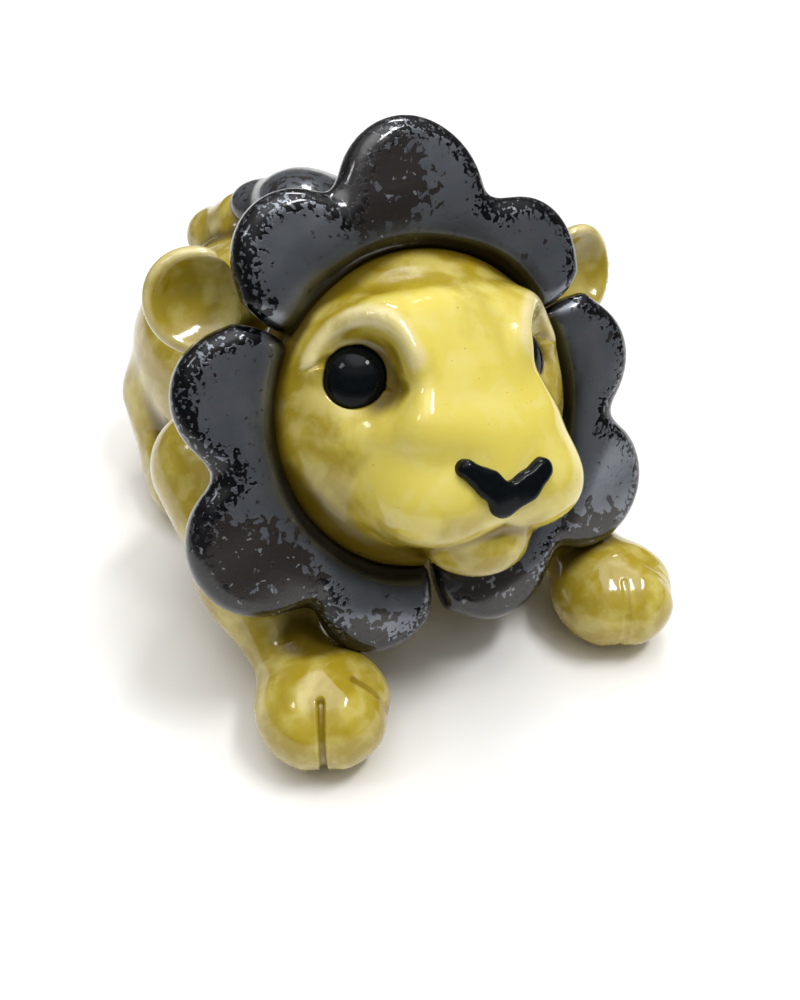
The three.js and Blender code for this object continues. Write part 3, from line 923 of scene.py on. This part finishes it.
# Each patch is a centre and a radius. The low ones under the chin are partly painted shade.
BARE_AND_SHADE_PATCHES = [
    ((-38, -26), 15),
    ((-17, -39), 7),
    ((-8, 38), 9),
    ((32, -32), 11),
    ((43, 12), 5),
    ((8, -38), 12),
    ((18, -42), 9),
]


def bare_and_shade_share(q):
    """Where the metallic film has burnt away, and low under the chin painted shade, by patches in the
    head's frame.
    """
    share = np.zeros(len(q))
    for centre, radius in BARE_AND_SHADE_PATCHES:
        away = np.linalg.norm(q[:, :2] - centre, axis=1)
        share = np.maximum(share, smooth_step(radius + BARE_EDGE, radius - BARE_EDGE, away))
    return share


def merged_copy(node):
    bm = bmesh.new()
    bm.from_mesh(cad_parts[node].data)
    bmesh.ops.remove_doubles(bm, verts=bm.verts, dist=1e-6)
    return bm


def make_slab(node):
    shape = MANE[node]
    mesh = press_together(merged_copy(node), node + "_slab", SLAB_VOXEL)
    fit_skin(mesh, lambda p: slab_field(shape, to_head(p)), 3)
    q = to_head(mesh_points(mesh))
    outer = np.hypot(q[:, 0], q[:, 1]) > SHOULDER_INNER_RADIUS
    store(mesh, "shoulder", smooth_step(*SHOULDER_BAND, slab_outline(shape, q)) * outer)
    # The bare share is burnt film, and low under the chin painted shade as well.
    store(mesh, "bare", bare_and_shade_share(q))
    return make_piece(node + "_slab", mesh, node)


slabs = [make_slab(node) for node in MANE]

# %% [markdown]
# The tail ends in a flat lobed tuft with the same dark glaze, laid over the rump. It is three lumps
# pressed together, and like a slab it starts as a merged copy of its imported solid.

# %% Tail tuft
TUFT_LUMPS = [((4, HEAD_Y + 83, 57.5), (8, 9, 5.2)), ((6, HEAD_Y + 68, 62.5), (8, 10, 6)),
              ((14, HEAD_Y + 75, 59.5), (8, 9, 5.4))]
TUFT_JOIN = 8
TUFT_WOBBLE = (15, 0.2)
TUFT_VOXEL = 0.6
TUFT_REACH = 3.0
TUFT_SHOULDER = (0.12, 0.4)
TUFT_BARE = 0.4


def tuft_field(p):
    f = p - FIGURE_SHIFT
    clay = lump(f, *TUFT_LUMPS[0])
    for centre, radii in TUFT_LUMPS[1:]:
        clay = blend(clay, lump(f, centre, radii), TUFT_JOIN)
    return clay + hand_wobble(p, *TUFT_WOBBLE)


tuft_mesh = press_together(merged_copy("tail_tuft"), "tuft", TUFT_VOXEL)
fit_skin(tuft_mesh, tuft_field, 3)
tuft_bend = bend_of(tuft_field, mesh_points(tuft_mesh), TUFT_REACH)
store(tuft_mesh, "shoulder", smooth_step(*TUFT_SHOULDER, tuft_bend))
store(tuft_mesh, "bare", np.full(len(tuft_mesh.vertices), TUFT_BARE))
tuft = make_piece("tuft", tuft_mesh, "tail_tuft")

# %% [markdown]
# The eyes are beads of clay, rolled between the palms and pressed flat into their sockets, so each is
# an ellipsoid that is not quite even. The left one was pressed in deeper.

# %% Eyes
BEAD_VOXEL = 0.4
BEAD_START = EYE_RADII[2] + 0.6
BEAD_INSET = 0.06
BEAD_WOBBLE = (9, 0.05)


def make_eye(node, side, sink):
    centre = from_head(((EYE_PLACE - EYE_AXIS * sink) * (side, 1, 1))[None])[0]
    bm = bmesh.new()
    add_ball(bm, centre, (BEAD_START,) * 3)
    mesh = press_together(bm, node + "_bead", BEAD_VOXEL)
    fit_skin(mesh, lambda p: bead(to_head(p)) + BEAD_INSET + hand_wobble(p, *BEAD_WOBBLE), 3)
    return make_piece(node + "_bead", mesh, node)


beads = [make_eye("eye_right", -1, EYE_SINK), make_eye("eye_left", 1, LEFT_EYE_SINK)]

# %% [markdown]
# The nose is two short rolls of clay, laid in a V and pressed down until they stand evenly out of the
# muzzle. So its outline is drawn by the rolls, seen from the front, and its height is measured from the
# face.

# %% Nose
NOSE_TIP = ((0.2, -10.8, 24.6), 2.6)
NOSE_RIGHT = [NOSE_TIP, ((-2.6, -7.6, 24.4), 1.9), ((-5.8, -5.0, 23.5), 1.45)]
NOSE_LEFT = [NOSE_TIP, ((3.7, -9.2, 24.7), 2.1), ((7.1, -6.8, 24.3), 1.75)]
NOSE_HEIGHT = 1.3
NOSE_EDGE = 0.9
NOSE_WOBBLE = (2.6, 0.1)
NOSE_VOXEL = 0.3


def nose_field(p):
    """The V as it is seen from the front, standing evenly out of the face with a rounded edge."""
    q = to_head(p)
    flat = (1, 1, 0)
    arms = [roll(q * flat, [(np.multiply(place, flat), radius) for place, radius in path], 1.5)
            for path in (NOSE_RIGHT, NOSE_LEFT)]
    outline = blend(*arms, 0.8) + hand_wobble(p, *NOSE_WOBBLE)
    return rounded_plate(outline, np.abs(face(q)) - NOSE_HEIGHT, NOSE_EDGE)


def make_nose():
    bm = bmesh.new()
    add_roll(bm, NOSE_RIGHT)
    add_roll(bm, NOSE_LEFT)
    bmesh.ops.transform(bm, matrix=HEAD_MATRIX, verts=bm.verts)
    mesh = press_together(bm, "nose_rolls", NOSE_VOXEL)
    fit_skin(mesh, nose_field, 3)
    return make_piece("nose_rolls", mesh, "nose")


nose = make_nose()

# %% [markdown]
# Where pieces meet, light hardly enters, so those places are painted dark as shade. How far a place is
# shut in is felt with the same measure as the bends, at a longer reach and with the mane in place.

# %% Shut-in places
SHUT_IN_REACH = 9.0


def whole_clay(p):
    q = to_head(p)
    mane = [slab_field(shape, q) for shape in MANE.values()]
    return np.min([lion_clay(p), tuft_field(p)] + mane, axis=0)


for piece in [body, tuft] + slabs:
    shut_in = -bend_of(whole_clay, mesh_points(piece.data), SHUT_IN_REACH)
    store(piece.data, "shut_in", shut_in)
    print(piece.name, "shut in by", np.percentile(shut_in, (5, 50, 95)).round(2))

# %% [markdown]
# A glaze is a thin coat of coloured glass, so all three finishes share some ways: colours are given as
# they are seen, patterns read the piece's own coordinates, and a faint bump breaks the highlights as
# fired glass does.

# %% Tools for glazes
def seen(red, green, blue):
    """A colour as a screen shows it, from 0 to 255, turned into the shader's linear light."""
    light = []
    for part in (red, green, blue):
        c = part / 255
        light.append(c / 12.92 if c <= 0.04045 else ((c + 0.055) / 1.055) ** 2.4)
    return (*light, 1)


class Glaze:
    """A material with short ways to add the nodes that the glazes use."""

    def __init__(self, name):
        self.material = bpy.data.materials.new(name)
        self.material.use_nodes = True
        self.tree = self.material.node_tree
        self.shader = self.tree.nodes["Principled BSDF"]
        self.place = self.tree.nodes.new("ShaderNodeTexCoord").outputs["Object"]

    def set(self, **values):
        """Sets plain values on the shader, each named as its socket."""
        for name, value in values.items():
            socket = name.replace("_", " ").title().replace("Ior", "IOR")
            self.shader.inputs[socket].default_value = value

    def join(self, source, node, socket):
        self.tree.links.new(source, node.inputs[socket])

    def noise(self, size, detail=2.0, distortion=0.0):
        """Cloudy noise with features of about this size in millimetres."""
        made = self.tree.nodes.new("ShaderNodeTexNoise")
        made.inputs["Scale"].default_value = 1 / (size * MM)
        made.inputs["Detail"].default_value = detail
        made.inputs["Distortion"].default_value = distortion
        self.join(self.place, made, "Vector")
        return made.outputs[0]

    def attribute(self, name):
        made = self.tree.nodes.new("ShaderNodeAttribute")
        made.attribute_name = name
        return made.outputs["Fac"]

    def ramp(self, source, low, high, to_low=0.0, to_high=1.0):
        """A soft step between two values of the source."""
        made = self.tree.nodes.new("ShaderNodeMapRange")
        made.interpolation_type = "SMOOTHSTEP"
        made.inputs["From Min"].default_value = low
        made.inputs["From Max"].default_value = high
        made.inputs["To Min"].default_value = to_low
        made.inputs["To Max"].default_value = to_high
        self.join(source, made, "Value")
        return made.outputs[0]

    def math(self, operation, a, b):
        made = self.tree.nodes.new("ShaderNodeMath")
        made.operation = operation
        for socket, value in enumerate((a, b)):
            if isinstance(value, (int, float)):
                made.inputs[socket].default_value = value
            else:
                self.join(value, made, socket)
        return made.outputs[0]

    def mix(self, share, a, b):
        """Colour a where the share is 0 and colour b where it is 1."""
        made = self.tree.nodes.new("ShaderNodeMix")
        made.data_type = "RGBA"
        self.join(share, made, 0)
        for socket, value in ((6, a), (7, b)):
            if isinstance(value, tuple):
                made.inputs[socket].default_value = value
            else:
                self.join(value, made, socket)
        return made.outputs[2]

    def bump(self, height, depth, under=None):
        """Relief of this depth in millimetres, on top of another bump if one is given."""
        made = self.tree.nodes.new("ShaderNodeBump")
        made.inputs["Strength"].default_value = 1.0
        made.inputs["Distance"].default_value = depth * MM
        self.join(height, made, "Height")
        if under is not None:
            self.join(under, made, "Normal")
        return made.outputs[0]

    def finish(self, pieces):
        """Gives these pieces the material and nothing else."""
        for piece in pieces:
            piece.data.materials.clear()
            piece.data.materials.append(self.material)
        names = [piece.name for piece in pieces]
        print(self.material.name, "has", len(self.tree.nodes), "nodes and is on", names)


print("a grey seen as 128 is", round(seen(128, 128, 128)[0], 3), "in linear light")

# %% [markdown]
# The yellow glaze is a glossy transparent honey. It runs thin over rims and ridges and over the front
# of the face, where the pale clay shows through as cream, and pools in hollows, where it is olive. The
# front of the face is also painted lighter as painted light and darker towards the chin as painted
# shade, and places shut in by other pieces are painted dark as shade. The stored bends tell the colour
# where that is. Slow noise stands for uneven dipping, and fine specks for iron. Layers of colour are
# mixed one over another, because each is easy to judge and change by itself.

# %% Yellow glaze
HONEY_THICK = seen(168, 146, 37)
# The colour of thin glaze on the face's front, with painted light in it.
HONEY_THIN_AND_LIT = seen(225, 207, 93)
HONEY_VEIL = seen(232, 222, 150)
HONEY_POOLED = seen(132, 110, 16)
HONEY_PAINTED_SHADE = seen(84, 66, 6)
CREAM = seen(228, 214, 156)
IRON_SPECK = seen(92, 76, 30)


def yellow_colour(glaze):
    clouds = glaze.ramp(glaze.noise(9, 4, 0.3), 0.3, 0.7, -0.3, 0.4)
    # High front share: thin glaze and painted light on the face; low towards the chin: painted shade.
    thin_and_lit = glaze.math("ADD", glaze.attribute("front"), clouds)
    colour = glaze.mix(glaze.ramp(thin_and_lit, 0.0, 1.0), HONEY_THICK, HONEY_THIN_AND_LIT)
    veil = glaze.ramp(glaze.noise(4.5, 5, 0.4), 0.42, 0.68, 0.0, 0.3)
    colour = glaze.mix(veil, colour, HONEY_VEIL)
    fine_bend = glaze.attribute("fine_bend")
    pooled = glaze.ramp(glaze.attribute("wide_bend"), 0.04, -0.14)
    pooled = glaze.math("ADD", pooled, glaze.ramp(fine_bend, 0.0, -0.12, 0.0, 0.6))
    colour = glaze.mix(glaze.ramp(pooled, 0.1, 1.1), colour, HONEY_POOLED)
    # Painted shade: places shut in by the mane and the other pieces are darkened.
    shut_in = glaze.ramp(glaze.attribute("shut_in"), -0.01, 0.13, 0.0, 0.88)
    colour = glaze.mix(shut_in, colour, HONEY_PAINTED_SHADE)
    bare = glaze.ramp(fine_bend, 0.07, 0.2)
    bare = glaze.math("MULTIPLY", bare, glaze.ramp(glaze.noise(4, 3), 0.3, 0.6, 0.5, 0.95))
    colour = glaze.mix(bare, colour, CREAM)
    specks = glaze.ramp(glaze.noise(0.5, 1), 0.77, 0.8, 0.0, 0.7)
    return glaze.mix(specks, colour, IRON_SPECK)


yellow = Glaze("yellow_glaze")
yellow.join(yellow_colour(yellow), yellow.shader, "Base Color")
yellow.set(roughness=0.12, ior=1.5, coat_weight=0.3, coat_roughness=0.04)
yellow_swell = yellow.bump(yellow.noise(3.2, 2), 0.06)
yellow_skin = yellow.bump(yellow.noise(0.45, 2), 0.007, yellow_swell)
yellow.join(yellow_skin, yellow.shader, "Normal")
yellow.finish([body])

# %% [markdown]
# The gunmetal glaze has two skins. A slate-grey metallic film lies over a brown-black ground and has
# broken up into ragged flakes, most of all in the bare patches; the low patches under the chin also
# stand for painted shade. The cove beside the face is painted dark as shade, because the cheek shuts it
# in. Along the shoulder of every edge it is crowded with glossy black pits. Steep ramps over noise give
# flakes and pits their sharp ragged outlines.

# %% Gunmetal glaze
GROUND = seen(40, 35, 32)
SLATE_DARK = seen(84, 91, 102)
SLATE_LIGHT = seen(136, 140, 146)
COVE_SHADE = seen(36, 35, 28)
CHIP = seen(118, 122, 126)
PIT = seen(12, 12, 18)


def film_share(glaze, bare):
    """1 where the film is whole, 0 where the ground shows."""
    thickness = glaze.math("SUBTRACT", glaze.noise(1.9, 5, 0.3), glaze.math("MULTIPLY", bare, 0.36))
    return glaze.ramp(thickness, 0.29, 0.32)


def pit_share(glaze):
    crowding = glaze.math("MULTIPLY", glaze.attribute("shoulder"), 0.27)
    return glaze.ramp(glaze.math("ADD", glaze.noise(0.8, 3, 0.2), crowding), 0.66, 0.7)


def gunmetal_colour(glaze, bare, film, pits):
    tint = glaze.mix(glaze.noise(8, 4, 0.4), SLATE_DARK, SLATE_LIGHT)
    colour = glaze.mix(film, GROUND, tint)
    # Painted shade: the cove beside the face, shut in by the cheek, is darkened.
    cove = glaze.ramp(glaze.attribute("shut_in"), -0.24, 0.0)
    colour = glaze.mix(cove, colour, COVE_SHADE)
    chips = glaze.math("ADD", glaze.noise(1.5, 2, 0.3), glaze.math("MULTIPLY", bare, 0.09))
    colour = glaze.mix(glaze.ramp(chips, 0.75, 0.77), colour, CHIP)
    return glaze.mix(pits, colour, PIT)


gunmetal = Glaze("gunmetal_glaze")
# Burnt film, and in the low patches under the chin painted shade.
burnt_and_shaded = gunmetal.attribute("bare")
film = film_share(gunmetal, burnt_and_shaded)
pits = pit_share(gunmetal)
gunmetal.join(gunmetal_colour(gunmetal, burnt_and_shaded, film, pits), gunmetal.shader, "Base Color")
gunmetal.join(gunmetal.ramp(film, 0, 1, 0.3, 0.75), gunmetal.shader, "Metallic")
gunmetal.join(gunmetal.ramp(pits, 0, 1, 0.24, 0.1), gunmetal.shader, "Roughness")
gunmetal.set(ior=1.6, coat_weight=0.4, coat_roughness=0.08)
film_step = gunmetal.bump(film, 0.008)
pitted = gunmetal.math("SUBTRACT", gunmetal.noise(1.0, 3), pits)
gunmetal.join(gunmetal.bump(pitted, 0.02, film_step), gunmetal.shader, "Normal")
gunmetal.finish([tuft] + slabs)

# %% [markdown]
# Eyes and nose are black and as smooth as glass, with a trace of blue and green in the black. Their
# reflection is kept weak, so that they stay black under the bright ceiling.

# %% Black glaze
BLACK_DEEP = seen(3, 5, 6)
BLACK_TINT = seen(14, 20, 24)

black = Glaze("black_glaze")
black.join(black.mix(black.noise(1.2, 3), BLACK_DEEP, BLACK_TINT), black.shader, "Base Color")
black.set(roughness=0.05, ior=1.5, specular_ior_level=0.14)
black.join(black.bump(black.noise(1.1, 3), 0.025), black.shader, "Normal")
black.finish([nose] + beads)
